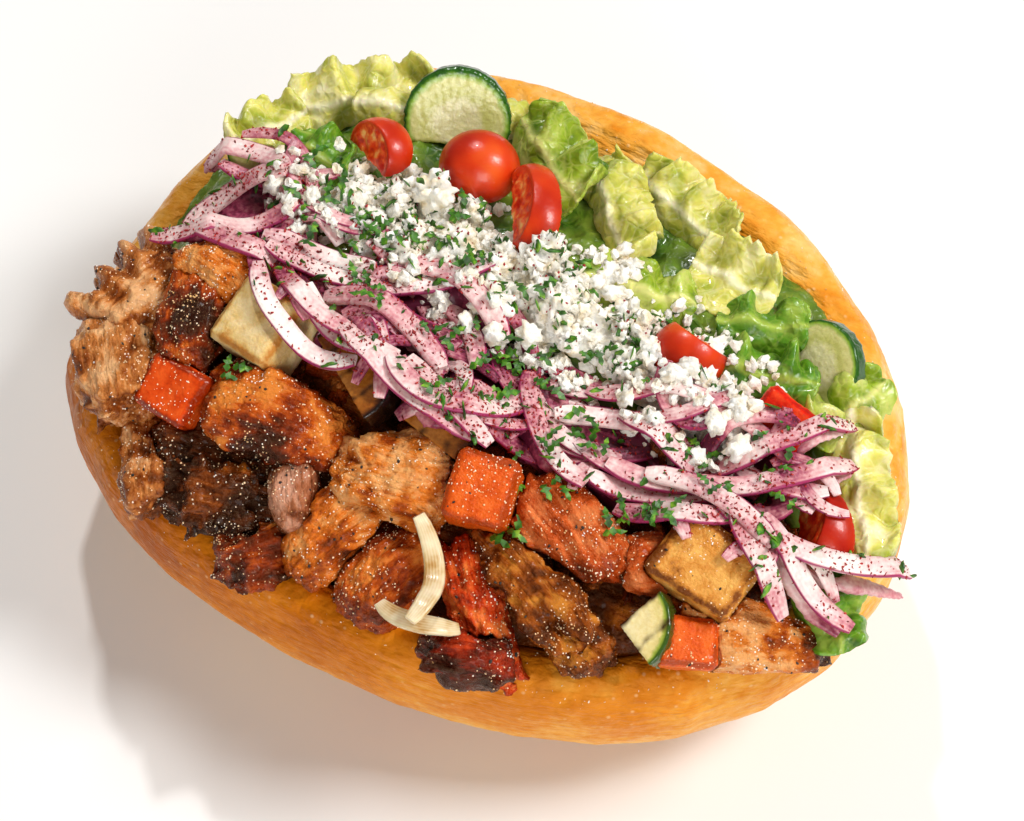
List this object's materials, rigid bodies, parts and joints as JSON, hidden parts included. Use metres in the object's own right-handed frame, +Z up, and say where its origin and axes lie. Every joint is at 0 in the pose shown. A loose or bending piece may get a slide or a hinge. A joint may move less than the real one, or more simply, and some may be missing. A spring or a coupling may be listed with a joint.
{
  "type": "kebab sandwich",
  "caption": "Oval pocket bread opened upwards, filled with grilled meat, roast vegetables, leafy salad, tomato, sliced onion and crumbled white cheese.",
  "frame": {"origin": "centre of the flat spot that the bread rests on", "axes": "+X along the mouth to the sandwich's right end, +Y from the meat side to the salad side, +Z up"},
  "size_m": [0.215, 0.1553, 0.0975],
  "materials": {
    "bread": "matte baked crust",
    "meat_core": "oily, browned",
    "salad_core": "moist leaves",
    "meat_core_chunk": "oily, browned",
    "meat_long_fillet": "oily, browned",
    "meat_brown_knuckle": "oily, browned",
    "meat_burnt_tip": "oily, browned",
    "meat_red_shred": "oily, browned",
    "meat_green_shred": "oily, browned",
    "meat_sliced_stack": "oily, browned",
    "meat_pink_round": "oily, browned",
    "meat_dark_crust": "oily, browned",
    "meat_amber_bit": "oily, browned",
    "meat_pink_slab": "oily, browned",
    "meat_rim_scrap": "oily, browned",
    "meat_roast_strip": "oily, browned",
    "meat_pepper_strip": "oily, browned",
    "meat_pale_flap": "oily, browned",
    "meat_glazed_breast": "oily, browned",
    "meat_charred_strip": "oily, browned",
    "meat_orange_fold": "oily, browned",
    "meat_left_block": "oily, browned",
    "meat_scalloped": "oily, browned",
    "pepper_dice": "oily",
    "carrot_dice_large": "oily",
    "carrot_dice_small": "oily",
    "potato_dice_left": "oily",
    "tomato_right": "oily",
    "potato_dice_right": "oily",
    "aubergine_slice": "moist cut face",
    "aubergine_skin_slice": "moist cut face",
    "zucchini_slice": "moist cut face",
    "cucumber_left": "moist cut face",
    "cucumber_right": "moist cut face",
    "cucumber_far_left": "moist cut face",
    "tomato_left": "wet skin",
    "tomato_back": "wet skin",
    "tomato_tall": "wet skin",
    "tomato_hidden": "wet skin",
    "tomato_front": "wet skin",
    "lettuce_far_left": "moist leaf",
    "lettuce_left_tip": "moist leaf",
    "lettuce_dark_frill": "moist leaf",
    "lettuce_curl": "moist leaf",
    "lettuce_middle_frill": "moist leaf",
    "lettuce_tall": "moist leaf",
    "lettuce_rib_fold": "moist leaf",
    "lettuce_far_fold": "moist leaf",
    "lettuce_green_lobe": "moist leaf",
    "lettuce_pale_bowl": "moist leaf",
    "lettuce_dark_top": "moist leaf",
    "lettuce_dark_lobe": "moist leaf",
    "lettuce_right_frill": "moist leaf",
    "lettuce_right_long": "moist leaf",
    "lettuce_front_tip": "moist leaf",
    "fried_onion_upright": "oily, translucent",
    "fried_onion_flat": "oily, translucent",
    "feta_heap": "crumbly, moist",
    "onion_heap": "moist, translucent"
  },
  "bodies": {
    "root": {"bread": "bread", "meat_core": "meat_core", "salad_core": "salad_core", "meat_core_chunk": "meat_core_chunk", "meat_long_fillet": "meat_long_fillet", "meat_brown_knuckle": "meat_brown_knuckle", "meat_burnt_tip": "meat_burnt_tip", "meat_red_shred": "meat_red_shred", "meat_green_shred": "meat_green_shred", "meat_sliced_stack": "meat_sliced_stack", "meat_pink_round": "meat_pink_round", "meat_dark_crust": "meat_dark_crust", "meat_amber_bit": "meat_amber_bit", "meat_pink_slab": "meat_pink_slab", "meat_rim_scrap": "meat_rim_scrap", "meat_roast_strip": "meat_roast_strip", "meat_pepper_strip": "meat_pepper_strip", "meat_pale_flap": "meat_pale_flap", "meat_glazed_breast": "meat_glazed_breast", "meat_charred_strip": "meat_charred_strip", "meat_orange_fold": "meat_orange_fold", "meat_left_block": "meat_left_block", "meat_scalloped": "meat_scalloped", "pepper_dice": "pepper_dice", "carrot_dice_large": "carrot_dice_large", "carrot_dice_small": "carrot_dice_small", "potato_dice_left": "potato_dice_left", "tomato_right": "tomato_right", "potato_dice_right": "potato_dice_right", "aubergine_slice": "aubergine_slice", "aubergine_skin_slice": "aubergine_skin_slice", "zucchini_slice": "zucchini_slice", "cucumber_left": "cucumber_left", "cucumber_right": "cucumber_right", "cucumber_far_left": "cucumber_far_left", "tomato_left": "tomato_left", "tomato_back": "tomato_back", "tomato_tall": "tomato_tall", "tomato_hidden": "tomato_hidden", "tomato_front": "tomato_front", "lettuce_far_left": "lettuce_far_left", "lettuce_left_tip": "lettuce_left_tip", "lettuce_dark_frill": "lettuce_dark_frill", "lettuce_curl": "lettuce_curl", "lettuce_middle_frill": "lettuce_middle_frill", "lettuce_tall": "lettuce_tall", "lettuce_rib_fold": "lettuce_rib_fold", "lettuce_far_fold": "lettuce_far_fold", "lettuce_green_lobe": "lettuce_green_lobe", "lettuce_pale_bowl": "lettuce_pale_bowl", "lettuce_dark_top": "lettuce_dark_top", "lettuce_dark_lobe": "lettuce_dark_lobe", "lettuce_right_frill": "lettuce_right_frill", "lettuce_right_long": "lettuce_right_long", "lettuce_front_tip": "lettuce_front_tip", "fried_onion_upright": "fried_onion_upright", "fried_onion_flat": "fried_onion_flat", "feta_heap": "feta_heap", "onion_heap": "onion_heap"}
  },
  "joints": []
}
